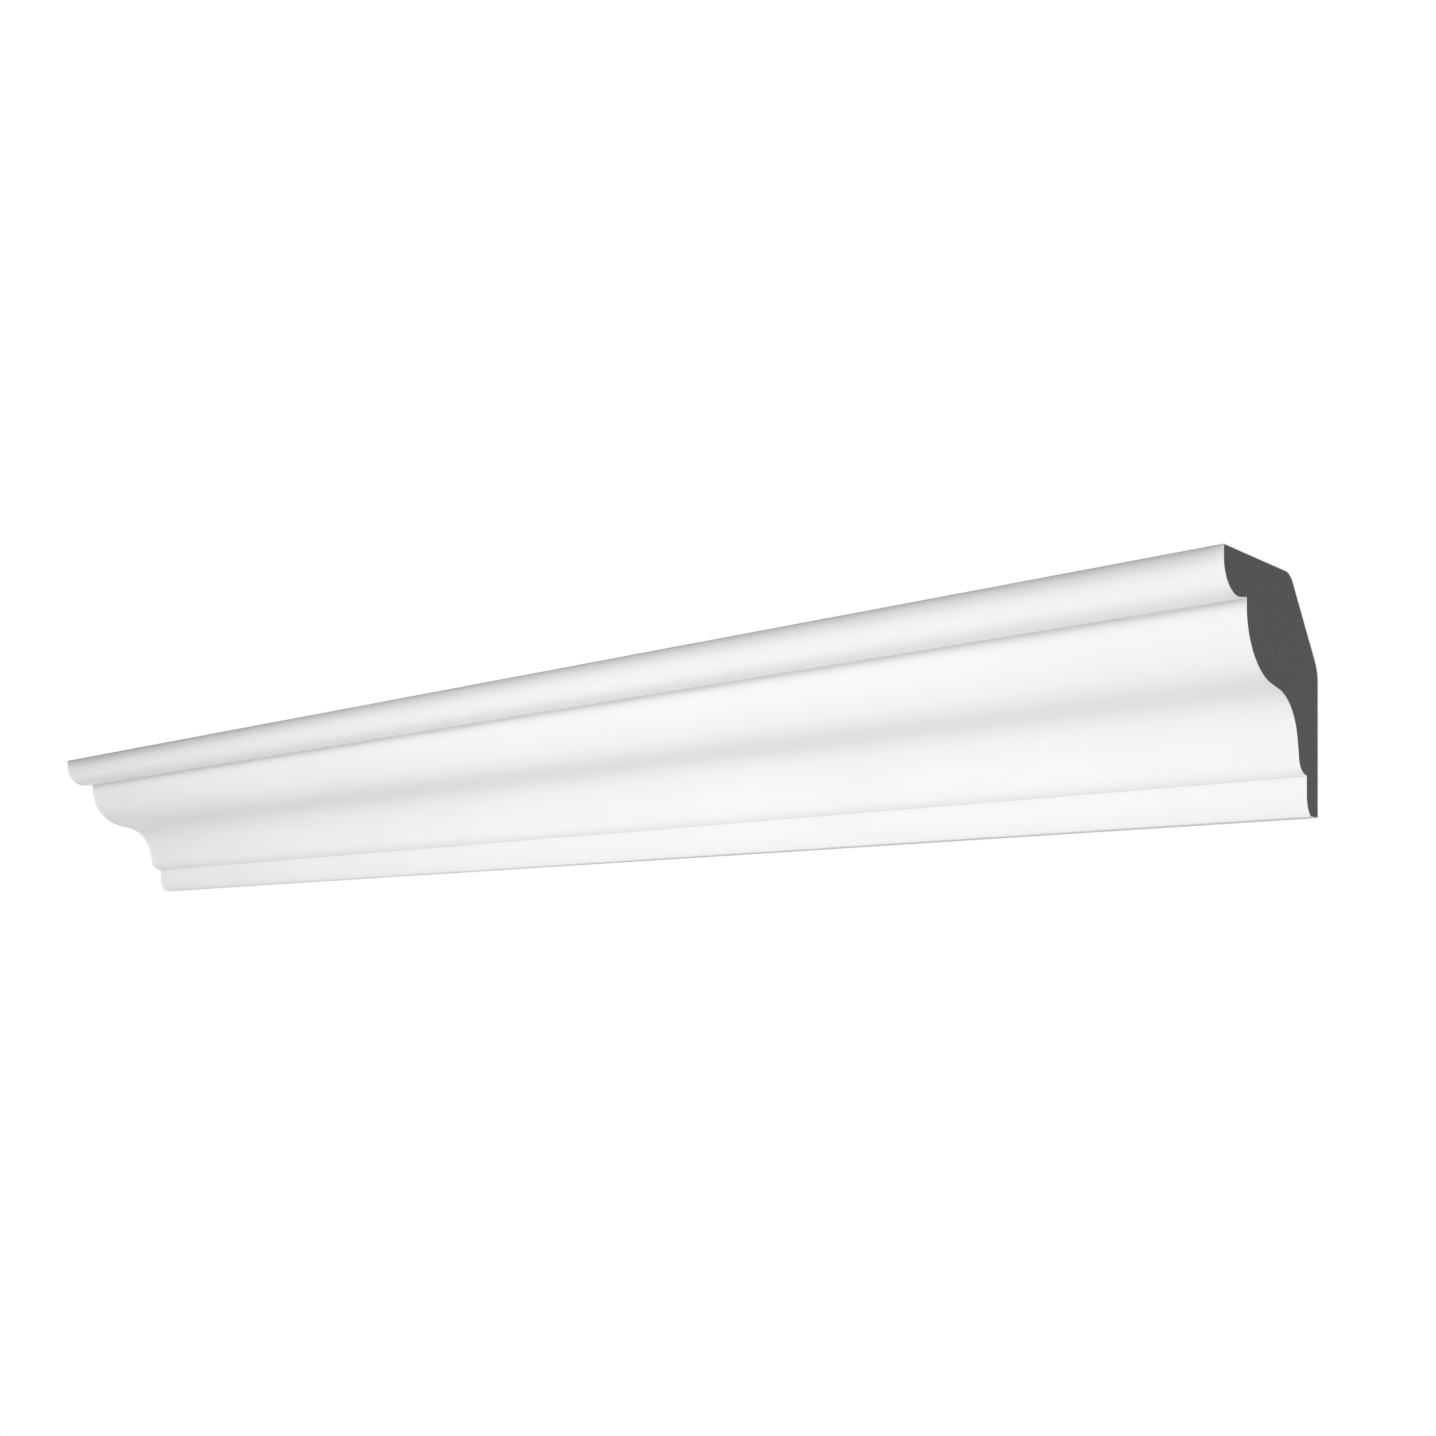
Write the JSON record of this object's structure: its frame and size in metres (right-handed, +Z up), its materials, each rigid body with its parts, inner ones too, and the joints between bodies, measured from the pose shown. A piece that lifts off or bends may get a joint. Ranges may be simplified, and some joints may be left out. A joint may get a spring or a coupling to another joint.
{
  "type": "crown moulding length",
  "caption": "Straight length of plain classical crown moulding, with an overhanging round nose, a large ogee and a small step, cut square at both ends, for the corner of wall and ceiling.",
  "frame": {"origin": "centre of the flat at the back that lies on the wall", "axes": "+X along the moulding, +Y into the wall, +Z up to the ceiling"},
  "size_m": [1, 0.095, 0.104],
  "materials": {
    "coat": "factory-primed satin matt white coat on the long faces",
    "core": "dark grey rigid foam core, sawn, bare on the two cut ends"
  },
  "bodies": {
    "root": {"cornice": "coat"}
  },
  "joints": []
}
